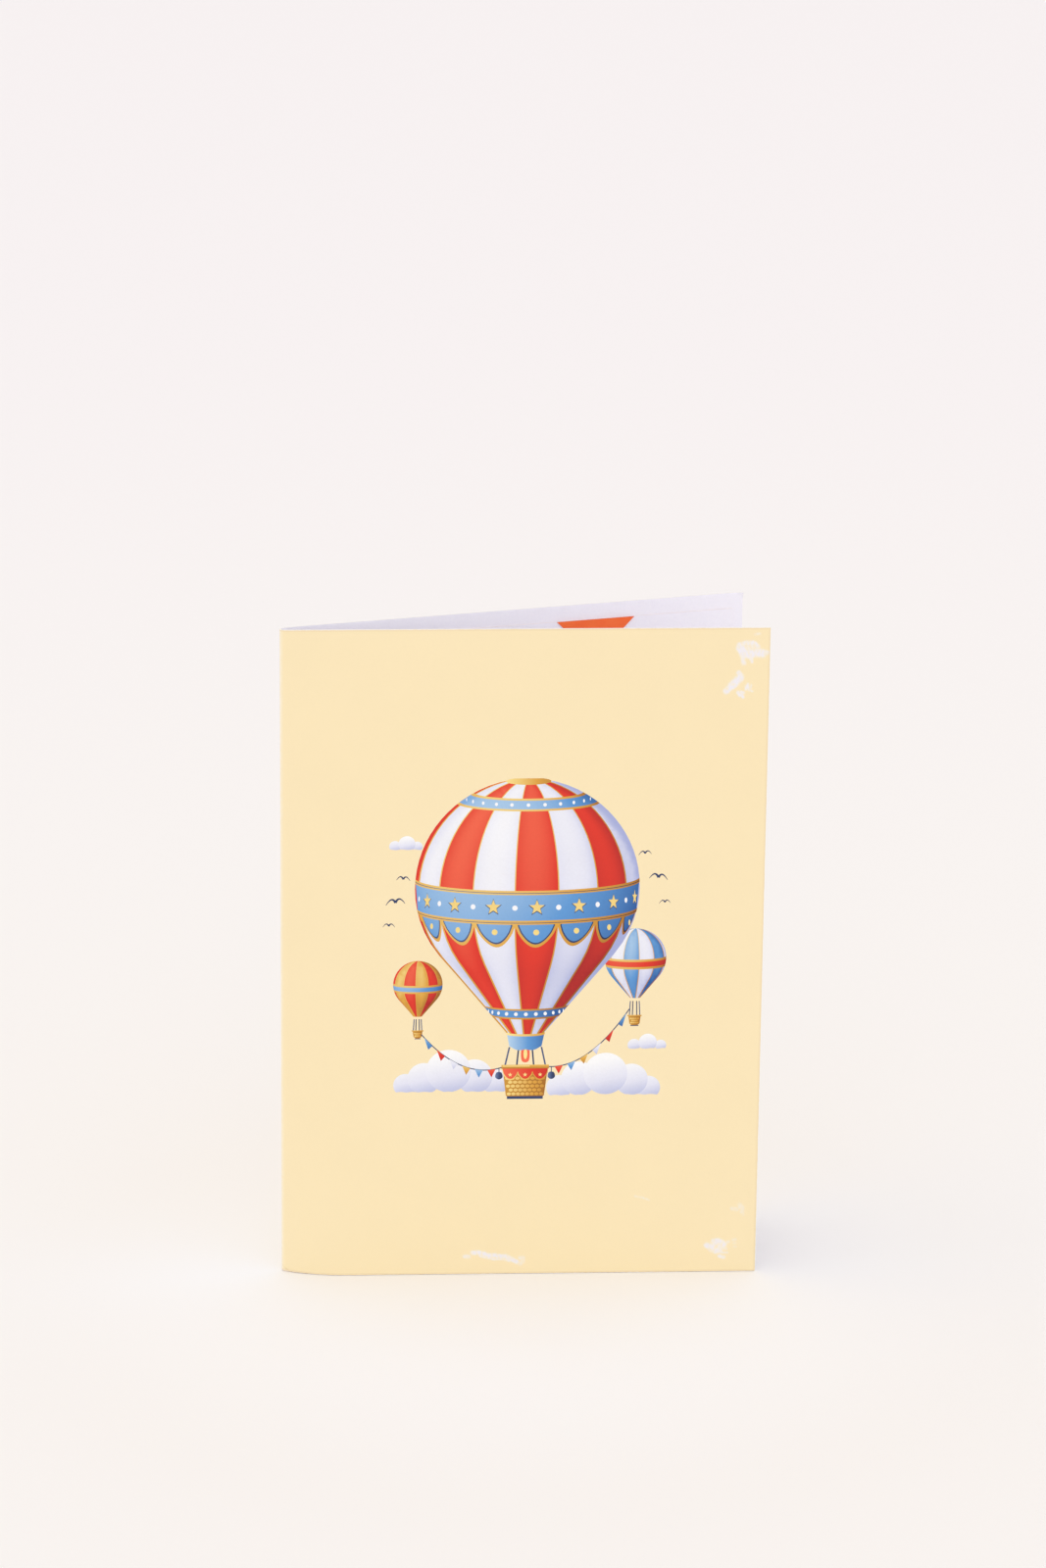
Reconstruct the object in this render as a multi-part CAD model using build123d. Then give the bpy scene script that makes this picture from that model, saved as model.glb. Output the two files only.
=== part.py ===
from build123d import *
import math
import os

# A portrait greeting card of folded cover stock, standing on its bottom edge like a book
# opened a little way. Millimetres, +Z up. The flat of the front panel lies along X and
# faces -Y. The fold is the upright edge at the -X end, and the back panel opens away from
# the front panel towards +X and +Y. The origin is at the middle of the footprint.
#
# In plan the card is drawn about the centre of its rounded fold, then moved to the origin.
# Each face of a sheet is one run of curves: a straight flat, a long springy bow next to the
# fold, the small round of the fold itself, and the same again on the other panel. A face
# deeper inside the fold is the same run with smaller radii.

# The cover
PANEL_WIDTH = 127.0       # from the middle of the fold, round its outside, to a free edge
PANEL_HEIGHT = 177.8
COVER_THICKNESS = 0.38
FOLD_RADIUS = 1.15        # outside of the rounded fold
OPENING_ANGLE = 14.4      # between the flats of the two panels
BOW_RADIUS = 46.0         # outside of the curve by which a panel springs clear of the fold
FRONT_BOW_FOOT = 22.0     # degrees that the front panel's bow turns, at the bottom edge
FRONT_BOW_HEAD = 3.0      # and at the top edge, where the card is pressed nearly flat
BACK_BOW = 8.0            # degrees that the back panel's bow turns, at both edges

# The white sheet glued inside the cover
GLUE_GAP = 0.06           # film of glue under anything stuck to the sheet below it
LINER_THICKNESS = 0.2
LINER_END_MARGIN = 4.2    # bare cover above and below the liner
LINER_SIDE_MARGIN = 3.0   # bare cover between the liner and a free edge

# The red piece glued to the liner's back panel
TAB_THICKNESS = 0.2
TAB_WIDTH = 21.2          # along its top edge
TAB_DEPTH = 7.5
TAB_START = 75.6          # from the middle of the fold to the tab's near top corner
TAB_MITRE = 45.0          # slope of the two ends from upright


def point_at(centre, radius, degrees):
    """The point of a circle in plan at an angle from +X."""
    angle = math.radians(degrees)
    return centre + Vector(math.cos(angle), math.sin(angle)) * radius


def fold_run(depth, margin, front_bow, back_bow):
    """One face of a folded sheet in plan, from the front free edge to the back one.

    depth is how far the face lies inside the outside of the cover, and margin is how far
    the sheet stops short of the cover's free edges.
    """
    fold_centre = Vector(0, 0)
    fold_round = FOLD_RADIUS - depth
    front_side = -90 - front_bow
    back_side = 90 + OPENING_ANGLE + back_bow
    fold_turn = 360 + front_side - back_side
    fold = CenterArc(fold_centre, fold_round, back_side, fold_turn)

    front = panel_run(fold_round, depth, margin, front_side, front_bow, fold_turn)
    back = panel_run(fold_round, depth, margin, back_side, -back_bow, fold_turn)
    return [front[1], front[0], fold, back[0], back[1]]


def panel_run(fold_round, depth, margin, side, bow, fold_turn):
    """The bow and the flat of one panel. A positive bow turns anticlockwise."""
    bow_centre = point_at(Vector(0, 0), fold_round - (BOW_RADIUS - depth), side)
    curve = CenterArc(bow_centre, BOW_RADIUS - depth, side, bow)
    end_side = side + bow
    flat_start = point_at(bow_centre, BOW_RADIUS - depth, end_side)
    fold_share = FOLD_RADIUS * math.radians(fold_turn / 2)
    bow_length = BOW_RADIUS * math.radians(abs(bow))
    flat_length = PANEL_WIDTH - fold_share - bow_length - margin
    heading = end_side + math.copysign(90, bow)
    return curve, Line(flat_start, point_at(flat_start, flat_length, heading))


def sheet_section(depth, thickness, margin, front_bow, back_bow):
    """The section of a folded sheet in plan, as a face."""
    outside = fold_run(depth, margin, front_bow, back_bow)
    inside = fold_run(depth + thickness, margin, front_bow, back_bow)
    front_edge = Line(outside[0] @ 1, inside[0] @ 1)
    back_edge = Line(outside[-1] @ 1, inside[-1] @ 1)
    return make_face([*outside, back_edge, *inside, front_edge])


def folded_sheet(depth, thickness, side_margin):
    """A sheet folded once, as tall as the cover."""
    foot = sheet_section(depth, thickness, side_margin, FRONT_BOW_FOOT, BACK_BOW)
    head = sheet_section(depth, thickness, side_margin, FRONT_BOW_HEAD, BACK_BOW)
    return loft([foot, Pos(0, 0, PANEL_HEIGHT) * head], ruled=True)


def trim_ends(sheet, margin):
    """The sheet cut short at both ends."""
    around = 4 * PANEL_WIDTH
    slab = Box(around, around, PANEL_HEIGHT - 2 * margin)
    return sheet & Pos(0, 0, PANEL_HEIGHT / 2) * slab


def back_panel_plane(depth):
    """The plane of the back panel's flat at a depth, with x along it from the fold.

    Its origin is where the panel would start if it were flat all the way to the middle of
    the fold, and its z axis points at the front panel.
    """
    run = fold_run(depth, 0, FRONT_BOW_FOOT, BACK_BOW)
    heading = run[-1] % 1
    origin = run[-1] @ 1 - heading * PANEL_WIDTH
    facing = Vector(heading.Y, -heading.X)
    return Plane(origin=origin, x_dir=heading, z_dir=facing)


def mitred_tab(depth):
    """The red piece: wide at the top, with both ends sloped in towards the bottom."""
    top = PANEL_HEIGHT - LINER_END_MARGIN
    bottom = top - TAB_DEPTH
    slope = TAB_DEPTH * math.tan(math.radians(TAB_MITRE))
    end = TAB_START + TAB_WIDTH
    outline = Polyline(
        (TAB_START, top),
        (TAB_START + slope, bottom),
        (end - slope, bottom),
        (end, top),
        close=True,
    )
    return extrude(back_panel_plane(depth) * make_face(outline), TAB_THICKNESS)


cover = folded_sheet(0, COVER_THICKNESS, 0)

liner_depth = COVER_THICKNESS + GLUE_GAP
full_liner = folded_sheet(liner_depth, LINER_THICKNESS, LINER_SIDE_MARGIN)
liner = trim_ends(full_liner, LINER_END_MARGIN)

tab_depth = liner_depth + LINER_THICKNESS + GLUE_GAP
red_tab = mitred_tab(tab_depth)

footprint = cover.bounding_box().center()
to_origin = Pos(-footprint.X, -footprint.Y, 0)

os.makedirs("parts", exist_ok=True)
export_step(to_origin * cover, "parts/cover.step")
export_step(to_origin * liner, "parts/inner_sheet.step")
export_step(to_origin * red_tab, "parts/red_tab.step")
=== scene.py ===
import bpy
import math
from mathutils import Matrix, Vector, noise
from mathutils.geometry import delaunay_2d_cdt


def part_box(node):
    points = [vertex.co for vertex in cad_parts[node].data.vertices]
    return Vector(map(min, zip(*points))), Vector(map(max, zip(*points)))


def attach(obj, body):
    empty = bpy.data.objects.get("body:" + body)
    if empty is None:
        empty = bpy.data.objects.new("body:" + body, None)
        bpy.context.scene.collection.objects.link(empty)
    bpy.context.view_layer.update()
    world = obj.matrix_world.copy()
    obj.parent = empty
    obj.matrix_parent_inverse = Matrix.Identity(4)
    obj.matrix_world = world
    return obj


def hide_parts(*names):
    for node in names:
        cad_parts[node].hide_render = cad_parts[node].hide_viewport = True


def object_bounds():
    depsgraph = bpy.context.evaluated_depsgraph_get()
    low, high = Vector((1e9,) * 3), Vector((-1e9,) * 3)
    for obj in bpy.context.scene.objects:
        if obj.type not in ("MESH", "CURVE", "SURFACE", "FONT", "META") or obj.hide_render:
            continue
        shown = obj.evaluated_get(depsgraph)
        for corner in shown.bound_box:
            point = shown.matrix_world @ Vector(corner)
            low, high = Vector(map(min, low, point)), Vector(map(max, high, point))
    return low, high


# The looks of a folded greeting card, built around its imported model. Sizes are in mm until
# a vertex or a lamp is made. A place on a leaf of paper is (t, z): t runs along the outside
# of the cover from the middle of the fold, positive on the front panel and negative on the
# back one, and z is the height above the bottom edge.

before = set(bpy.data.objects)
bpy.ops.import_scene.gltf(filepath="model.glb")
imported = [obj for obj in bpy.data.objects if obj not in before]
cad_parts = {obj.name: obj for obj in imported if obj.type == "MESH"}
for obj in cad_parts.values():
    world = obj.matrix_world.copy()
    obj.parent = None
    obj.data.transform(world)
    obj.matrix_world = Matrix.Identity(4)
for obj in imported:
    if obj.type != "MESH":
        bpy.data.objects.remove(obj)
CAD_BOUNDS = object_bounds()
MM = 0.001

# ---------------------------------------------------------------- the folded sheets

COVER_LOW, COVER_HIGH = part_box("cover")
PANEL_HEIGHT = (COVER_HIGH.z - COVER_LOW.z) / MM
PANEL_WIDTH = 127.0
COVER_THICKNESS = 0.38
FOLD_RADIUS = 1.15
OPENING_ANGLE = 14.4
BOW_RADIUS = 46.0
FRONT_BOW_FOOT = 22.0
FRONT_BOW_HEAD = 3.0
BACK_BOW = 8.0

GLUE_GAP = 0.06
LINER_THICKNESS = 0.2
LINER_END_MARGIN = 4.2
LINER_SIDE_MARGIN = 3.0

TAB_THICKNESS = 0.2
TAB_WIDTH = 21.2
TAB_DEPTH = 7.5
TAB_START = 75.6
TAB_MITRE = 45.0

LINER_DEPTH = COVER_THICKNESS + GLUE_GAP
TAB_LEVEL = LINER_DEPTH + LINER_THICKNESS + GLUE_GAP


def polar(radius, degrees):
    """A point of a circle in plan, at an angle from +X."""
    angle = math.radians(degrees)
    return Vector((radius * math.cos(angle), radius * math.sin(angle)))


def plan_point(t, depth, front_bow):
    """Where t lies in plan, from the centre of the fold, on a face depth inside the cover."""
    front_side = -90 - front_bow
    back_side = 90 + OPENING_ANGLE + BACK_BOW
    fold_turn = 360 + front_side - back_side
    side, bow, sign = front_side, front_bow, 1
    if t < 0:
        side, bow, sign = back_side, BACK_BOW, -1
    fold_share = FOLD_RADIUS * math.radians(fold_turn / 2)
    past_fold = abs(t) - fold_share
    if past_fold <= 0:
        middle = back_side + fold_turn / 2
        return polar(FOLD_RADIUS - depth, middle + math.degrees(t / FOLD_RADIUS))
    bow_turn = min(bow, math.degrees(past_fold / BOW_RADIUS))
    facing = side + sign * bow_turn
    past_bow = past_fold - BOW_RADIUS * math.radians(bow_turn)
    bow_centre = polar(FOLD_RADIUS - BOW_RADIUS, side)
    return bow_centre + polar(BOW_RADIUS - depth, facing) + polar(past_bow, facing + sign * 90)


def plan_low_corner():
    """The low corner in plan of the cover, from the centre of its fold."""
    reach = int(PANEL_WIDTH)
    lows = []
    for front_bow in (FRONT_BOW_FOOT, FRONT_BOW_HEAD):
        points = [plan_point(t, 0, front_bow) for t in range(-reach, reach + 1)]
        lows.append(min(point.y for point in points))
    return Vector((-FOLD_RADIUS, min(lows)))


PLAN_LOW = plan_low_corner()
NORMAL_STEP = 0.02           # how far either side of a place its normal is measured


def leaf_point(t, z, depth):
    """A point of a leaf in the card's frame, in metres."""
    share = z / PANEL_HEIGHT
    foot = plan_point(t, depth, FRONT_BOW_FOOT)
    head = plan_point(t, depth, FRONT_BOW_HEAD)
    place = foot.lerp(head, share) - PLAN_LOW
    return Vector((COVER_LOW.x + place.x * MM, COVER_LOW.y + place.y * MM, COVER_LOW.z + z * MM))


def leaf_normal(t, z, depth):
    """The outward normal of a leaf."""
    step = NORMAL_STEP
    along = leaf_point(t + step, z, depth) - leaf_point(t - step, z, depth)
    up = leaf_point(t, min(z + step, PANEL_HEIGHT), depth) - leaf_point(t, max(z - step, 0), depth)
    return along.cross(up).normalized()


def smooth(value):
    """A soft step from 0 to 1."""
    value = min(max(value, 0.0), 1.0)
    return value * value * (3 - 2 * value)


CORNER_DENT = (1.7, 0.3)     # the knock at the foot of the fold, on the front panel
CORNER_DENT_DEPTH = 0.16
CORNER_DENT_REACH = 1.6
DOG_EAR_REACH = 2.2          # the softened top free corner of the back panel
DOG_EAR_LIFT = 0.5
FOOT_GAP = 0.12              # the front's bottom edge is worn up by this much,
FOOT_GAP_AT_FOLD = 0.24      # and by this much more next to the fold,
FOOT_GAP_REACH = 11.0        # over this width
FOOT_GAP_HEIGHT = 2.0        # the height over which the print is pushed up with it


def wear_push(t, z):
    """How far a knock has pushed the cover inwards at a place, in mm."""
    from_dent = math.dist((t, z), CORNER_DENT)
    push = CORNER_DENT_DEPTH * smooth(1 - from_dent / CORNER_DENT_REACH)
    from_corner = (PANEL_WIDTH + t) + (PANEL_HEIGHT - z)
    push += DOG_EAR_LIFT * smooth((DOG_EAR_REACH - from_corner) / DOG_EAR_REACH)
    return push


def foot_gap(t):
    """How high the outer corner of the bottom edge has worn, in mm."""
    return (FOOT_GAP + FOOT_GAP_AT_FOLD * smooth(1 - abs(t) / FOOT_GAP_REACH)) * smooth(0.5 + t)


def cover_point(t, z, depth):
    """A point of the cover, with its wear."""
    if depth == 0:
        z += foot_gap(t) * smooth(1 - z / FOOT_GAP_HEIGHT)
    place = leaf_point(t, z, depth)
    push = wear_push(t, z)
    if push:
        place -= leaf_normal(t, z, depth) * push * MM
    return place


# ---------------------------------------------------------------- shapes on a leaf

PRINT_TONE = 0.5             # the tone of the print where nothing has touched it
LEAST_STEP = 1e-3            # points of an outline nearer than this are one point


class Shape:
    """A closed outline on a leaf, the ink that fills it and its tone, from 0 dark to 1 light."""

    def __init__(self, outline, ink, tone=PRINT_TONE):
        following = outline[1:] + outline[:1]
        outline = [a for a, b in zip(outline, following) if math.dist(a, b) > LEAST_STEP]
        following = outline[1:] + outline[:1]
        area = sum(a[0] * b[1] - b[0] * a[1] for a, b in zip(outline, following))
        self.outline = outline if area > 0 else outline[::-1]
        self.ink = ink
        self.tone = tone if callable(tone) else lambda x, z: tone


def ellipse(x, z, half_width, half_height, count=24, tilt=0.0):
    """An ellipse's outline."""
    cos_tilt, sin_tilt = math.cos(math.radians(tilt)), math.sin(math.radians(tilt))
    points = []
    for i in range(count):
        angle = math.tau * i / count
        a, b = half_width * math.cos(angle), half_height * math.sin(angle)
        points.append((x + a * cos_tilt - b * sin_tilt, z + a * sin_tilt + b * cos_tilt))
    return points


def star(x, z, radius, squeeze=1.0, points=5, inner=0.42):
    """A star's outline, one point up, narrowed by squeeze."""
    outline = []
    for i in range(2 * points):
        reach = radius if i % 2 == 0 else radius * inner
        angle = math.pi / 2 + math.pi * i / points
        outline.append((x + squeeze * reach * math.cos(angle), z + reach * math.sin(angle)))
    return outline


def ribbon(path, width, end_width=None):
    """The outline of a line drawn along a path, which may taper."""
    if end_width is None:
        end_width = width
    left, right = [], []
    for i, (x, z) in enumerate(path):
        before, after = path[max(i - 1, 0)], path[min(i + 1, len(path) - 1)]
        along = Vector((after[0] - before[0], after[1] - before[1])).normalized()
        half = 0.5 * (width + (end_width - width) * i / (len(path) - 1))
        left.append((x - along.y * half, z + along.x * half))
        right.append((x + along.y * half, z - along.x * half))
    return left + right[::-1]


def rounded(corners, steps=6):
    """A smooth closed outline through a few points."""
    count = len(corners)
    points = []
    for i in range(count):
        p0, p1, p2, p3 = (Vector(corners[(i + k - 1) % count]) for k in range(4))
        for k in range(steps):
            u = k / steps
            place = 0.5 * (
                2 * p1 + (p2 - p0) * u + (2 * p0 - 5 * p1 + 4 * p2 - p3) * u * u
                + (3 * p1 - p0 - 3 * p2 + p3) * u * u * u
            )
            points.append(tuple(place))
    return points


def rectangle(low, high):
    """The corners of a rectangle, anticlockwise from its low corner."""
    return [(low[0], low[1]), (high[0], low[1]), (high[0], high[1]), (low[0], high[1])]


def span(first, last, count):
    """Evenly spaced values, both ends included."""
    return [first + (last - first) * i / (count - 1) for i in range(count)]


def filled(columns, rows):
    """Every place where a column crosses a row."""
    return [(t, z) for t in columns for z in rows]


# ---------------------------------------------------------------- the balloon picture

TO_LIGHT = Vector((-0.48, 0.42, 0.77))   # across, up and out of the picture
LIMB = 84.0                  # the longitude at a balloon's outline, in degrees
TAPER = 1.36                 # from a balloon's middle to its throat, in radii
THROAT = 0.17                # a throat's radius, in radii of the crown
TILT = 0.13                  # how far a level ring dips in the middle, in its own radii


class Balloon:
    """A hot-air balloon drawn on the front panel: a round crown that tapers to a throat."""

    def __init__(self, x, top, radius, gores, colours, turn=0.0):
        self.x, self.top, self.radius = x, top, radius
        self.gores, self.colours, self.turn = gores, colours, turn
        self.middle = top - radius
        self.throat = self.middle - TAPER * radius
        self.throat_radius = THROAT * radius
        drop = self.middle - self.throat
        reach = math.hypot(drop, self.throat_radius)
        lean = math.atan2(drop, self.throat_radius) - math.acos(radius / reach)
        self.shoulder = self.middle - radius * math.sin(lean)
        self.shoulder_radius = radius * math.cos(lean)

    def half_width(self, z):
        """Half of the envelope's width at a height."""
        if z >= self.shoulder:
            return math.sqrt(max(self.radius ** 2 - (z - self.middle) ** 2, 0.0))
        share = (z - self.throat) / (self.shoulder - self.throat)
        return self.throat_radius + (self.shoulder_radius - self.throat_radius) * share

    def place(self, longitude, z):
        """A point of the envelope. Longitude is in degrees from the middle."""
        angle = math.radians(longitude)
        width = self.half_width(z)
        return (self.x + width * math.sin(angle), z - TILT * width * math.cos(angle))

    def meridian(self, longitude, low, high, count=30):
        """Points down the envelope, closer together near the crown."""
        heights = [high - (high - low) * (i / (count - 1)) ** 1.6 for i in range(count)]
        return [self.place(longitude, z) for z in heights]

    def parallel(self, z, start=-LIMB, end=LIMB, count=41):
        """Points along a level ring of the envelope."""
        return [self.place(longitude, z) for longitude in span(start, end, count)]

    def seams(self):
        """The longitudes of the seams that show, with both sides of the outline."""
        step = 360 / self.gores
        inner = [self.turn + step * (i + 0.5) for i in range(-self.gores, self.gores)]
        return [-LIMB] + [a for a in inner if abs(a) < LIMB - 2] + [LIMB]

    def shade(self, x, z, strength=1.0):
        """The envelope's own light and shade."""
        across = max(-1.0, min(1.0, (x - self.x) / max(self.half_width(z), 0.3 * self.radius)))
        upward = max(-0.8, min(1.0, (z - self.middle) / self.radius))
        upward *= math.sqrt(1 - 0.6 * across * across)
        outward = math.sqrt(max(0.0, 1 - across * across - 0.7 * upward * upward))
        facing = Vector((across, upward, outward)).dot(TO_LIGHT)
        return 0.5 + strength * (0.52 * facing - 0.24)

    def gore_tone(self, seam_a, seam_b):
        """The shade of one gore, darker next to its two seams."""
        def tone(x, z):
            width = max(self.half_width(z + TILT * self.half_width(z)), 0.1)
            longitude = math.degrees(math.asin(max(-1.0, min(1.0, (x - self.x) / width))))
            across = (longitude - (seam_a + seam_b) / 2) / (0.5 * (seam_b - seam_a))
            return self.shade(x, z) - 0.20 * min(1.0, across * across) + 0.06
        return tone

    def envelope(self, seam_width):
        """The coloured gores, with a gold line on each seam."""
        shapes = []
        seams = self.seams()
        first = math.floor((seams[1] - self.turn) / (360 / self.gores))
        for i, (a, b) in enumerate(zip(seams, seams[1:])):
            outline = self.meridian(a, self.throat, self.top)
            outline += self.meridian(b, self.throat, self.top)[:0:-1]
            colour = self.colours[(first + i) % len(self.colours)]
            shapes.append(Shape(outline, colour, self.gore_tone(a, b)))
        for longitude in seams[1:-1]:
            line = self.meridian(longitude, self.throat, self.top - 0.02 * self.radius)
            shapes.append(Shape(ribbon(line, 0.5 * seam_width, seam_width), "gold", self.shade))
        return shapes

    def band(self, low, high, ink):
        """A belt between two heights."""
        outline = self.parallel(low) + self.parallel(high)[::-1]
        return Shape(outline, ink, lambda x, z: self.shade(x, z, 1.1))


SWAG_LIMB = 80.0             # the longitude where the outermost swags end
SWAG_NARROWEST = 5.0         # degrees of longitude below which a swag isn't drawn
SWAG_TOP = 0.4               # how far a swag falls at its two ends


def swags(balloon, height, drop, ink, inset):
    """A row of hanging scallops below a height, one to each gore."""
    shapes = []
    seams = balloon.seams()
    gap = math.degrees(inset / balloon.radius)
    for a, b in zip(seams, seams[1:]):
        a, b = max(a, -SWAG_LIMB), min(b, SWAG_LIMB)
        wide = b - a - 2 * gap
        if wide < SWAG_NARROWEST:
            continue
        fall = (drop - 1.2 * inset) * min(1.0, (b - a) / (360 / balloon.gores))
        lower = []
        for u in span(0.0, 1.0, 15):
            sag = SWAG_TOP + (fall - SWAG_TOP) * math.sin(math.pi * u) ** 0.7
            lower.append(balloon.place(a + gap + wide * u, height - sag))
        upper = balloon.parallel(height, a + gap, b - gap, 9)[::-1]
        shapes.append(Shape(lower + upper, ink, balloon.shade))
    return shapes


def crown_patch(balloon):
    """The gold cap at the top of the main balloon."""
    x, z, r = balloon.x, balloon.top, balloon.radius
    cap = ellipse(x, z - 0.028 * r, 0.20 * r, 0.034 * r, 28)
    cap = [(a, min(b, z - 0.002 * r)) for a, b in cap]
    return [Shape(cap, "gold", lambda a, b: 0.62 - 0.06 * (a - x))]


BELT_BELOW = 6.8             # the belt's edges, below and above the balloon's middle
BELT_ABOVE = 2.6
BELT_TRIM = 1.15             # the gold along both of its edges
SWAG_DROP = 6.6
SWAG_TRIMS = (("gold", 0.0), ("navy", 0.75), ("blue", 1.15))   # inks and their insets
STAR_RADIUS = 2.1
STAR_OUTLINE = 0.35
STAR_LIFT = 0.12             # how far a star sits above the middle of its outline
SWAG_DOT = 0.8
SEAM_DOT = 0.72
LEAST_SQUEEZE = 0.25         # what is seen more edge-on than this isn't drawn
LEAST_DOT_SQUEEZE = 0.2


def belt(balloon):
    """The blue belt of the main balloon, trimmed in gold, with swags below it."""
    low, high = balloon.middle - BELT_BELOW, balloon.middle + BELT_ABOVE
    shapes = []
    for ink, inset in SWAG_TRIMS:
        shapes += swags(balloon, low, SWAG_DROP, ink, inset)
    shapes.append(balloon.band(low, high, "blue"))
    for height in (low, high - BELT_TRIM):
        shapes.append(balloon.band(height, height + BELT_TRIM, "gold"))
        shapes.append(balloon.band(height + 0.34 * BELT_TRIM, height + 0.5 * BELT_TRIM, "navy"))
    return shapes + belt_stars(balloon, low, high)


def belt_stars(balloon, low, high):
    """A star on each gore of the belt, a gold dot on its swag and a white one on each seam."""
    shapes = []
    centre = (low + high) / 2
    seams = balloon.seams()
    for a, b in zip(seams, seams[1:]):
        squeeze = math.cos(math.radians((a + b) / 2))
        x, z = balloon.place((a + b) / 2, centre)
        if squeeze > LEAST_SQUEEZE:
            shapes.append(Shape(star(x, z, STAR_RADIUS + STAR_OUTLINE, squeeze), "navy", 0.5))
            shapes.append(Shape(star(x, z + STAR_LIFT, STAR_RADIUS, squeeze), "gold", 0.85))
            x, z = balloon.place((a + b) / 2, low - SWAG_DROP / 3)
            shapes.append(Shape(ellipse(x, z, SWAG_DOT * squeeze, SWAG_DOT, 16), "gold", 0.9))
        squeeze = math.cos(math.radians(b))
        x, z = balloon.place(b, centre)
        if squeeze > LEAST_DOT_SQUEEZE:
            shapes.append(Shape(ellipse(x, z, SEAM_DOT * squeeze, SEAM_DOT, 16), "white", 0.9))
    return shapes


def collar(balloon, low, high, ink, dot):
    """A narrow belt with gold edges and a row of dots."""
    trim = 0.16 * (high - low)
    shapes = [balloon.band(low, high, "gold"), balloon.band(low + trim, high - trim, ink)]
    centre = (low + high) / 2
    for longitude in range(-75, 76, 15):
        x, z = balloon.place(longitude, centre)
        squeeze = math.cos(math.radians(longitude))
        shapes.append(Shape(ellipse(x, z, dot * squeeze, dot, 12), "white", 0.95))
    return shapes


def half_turn(count):
    """Angles from one side of a ring to the other, round its front, in radians."""
    return [math.radians(degrees) for degrees in span(-90, 90, count)]


def mouth(balloon, depth, ink):
    """The skirt below the envelope, with a dark opening and a flame under it."""
    x, r = balloon.x, balloon.throat_radius
    top = balloon.throat
    low = top - depth
    rim, dip = 0.86 * r, 0.24 * r
    flame = rounded([(x - 0.17 * r, low - 0.9 * r), (x + 0.17 * r, low - 0.9 * r),
                     (x + 0.22 * r, low - 0.3 * r), (x, low + 0.5 * r), (x - 0.22 * r, low - 0.3 * r)])
    core = ellipse(x, low - 0.5 * r, 0.1 * r, 0.3 * r, 12)
    shapes = [Shape(ellipse(x, low, rim, dip, 28), "navy", 0.4)]
    shapes.append(Shape(flame, "red", 0.95))
    shapes.append(Shape(core, "gold", 1.0))
    upper = [(x + r * math.sin(a), top - TILT * r * math.cos(a)) for a in half_turn(19)]
    lower = []
    for a in half_turn(31):
        scallop = 1 + 0.35 * abs(math.sin(3 * a))
        lower.append((x + rim * math.sin(a), low - dip * math.cos(a) * scallop))
    shapes.append(Shape(upper + lower[::-1], ink, lambda a, b: 0.55 - 0.4 * (a - x) / r))
    hem = [(a, b + 0.08 * r) for a, b in upper] + [(a, b - 0.12 * r) for a, b in upper[::-1]]
    shapes.append(Shape(hem, "gold", lambda a, b: 0.75 - 0.3 * (a - x) / r))
    return shapes


def ropes(balloon, depth, rim, spread, width):
    """The lines from the skirt down to the basket's rim."""
    shapes = []
    low = balloon.throat - depth
    for share in (-1.0, -0.42, 0.42, 1.0):
        start = (balloon.x + 0.84 * share * balloon.throat_radius, low - 0.02 * balloon.radius)
        end = (balloon.x + share * spread, rim)
        shapes.append(Shape(ribbon([start, end], width), "navy", 0.35 if abs(share) < 1 else 0.6))
    return shapes


def basket(x, rim, half_width, height, rows, columns):
    """A woven basket with a rolled rim and a base board."""
    base = rim - height
    narrow = 0.84 * half_width

    def half(z):
        return narrow + (half_width - narrow) * (z - base) / height

    body = [(x - half_width, rim), (x - narrow, base + 0.6), (x - narrow + 0.7, base),
            (x + narrow - 0.7, base), (x + narrow, base + 0.6), (x + half_width, rim)]
    shapes = [Shape(body, "gold", lambda a, b: 0.22 - 0.16 * (a - x) / half_width)]
    pitch = (height - 1.0) / rows
    for row in range(rows):
        z = base + 0.5 + pitch * (row + 0.5)
        shift = 0.5 if row % 2 else 0.0
        for column in range(columns):
            share = (column + 0.5 + shift) / columns * 2 - 1
            if share > 0.97:
                continue
            wide = half(z) / columns
            strand = ellipse(x + share * (half(z) - 0.3), z, 0.86 * wide, 0.40 * pitch, 12)
            shapes.append(Shape(strand, "gold", lambda a, b: 0.62 - 0.34 * (a - x) / half_width))
    rim_line = ribbon([(x - half_width - 0.25, rim), (x + half_width + 0.25, rim)], 0.13 * height)
    shapes.append(Shape(rim_line, "gold", lambda a, b: 0.42 + 0.5 * (b - rim)))
    shine = ribbon([(x - half_width, rim + 0.02 * height), (x + 0.2 * half_width, rim + 0.02 * height)],
                   0.03 * height)
    shapes.append(Shape(shine, "gold", 0.95))
    shapes.append(Shape(ribbon([(x - narrow + 0.3, base), (x + narrow - 0.3, base)], 0.09 * height),
                        "navy", 0.45))
    return shapes


def basket_drape(x, rim, half_width, drop):
    """Red cloth hung in three folds from the basket's rim, edged in gold."""
    shapes = []
    for layer, ink, inset in ((0, "gold", 0.0), (1, "red", 0.42)):
        lower = []
        for u in span(0.0, 1.0, 37):
            sag = drop * (0.35 + 0.65 * abs(math.sin(3 * math.pi * u)) ** 0.7) - inset
            lower.append((x + (2 * u - 1) * half_width * (0.99 - 0.02 * layer), rim - sag))
        upper = [(x + half_width, rim), (x - half_width, rim)]
        shapes.append(Shape(lower + upper, ink, lambda a, b: 0.6 - 0.3 * (a - x) / half_width))
    for share in (-0.66, 0.0, 0.66):
        shapes.append(Shape(star(x + share * half_width, rim - 0.52 * drop, 0.62), "gold", 0.95))
    return shapes


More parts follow.
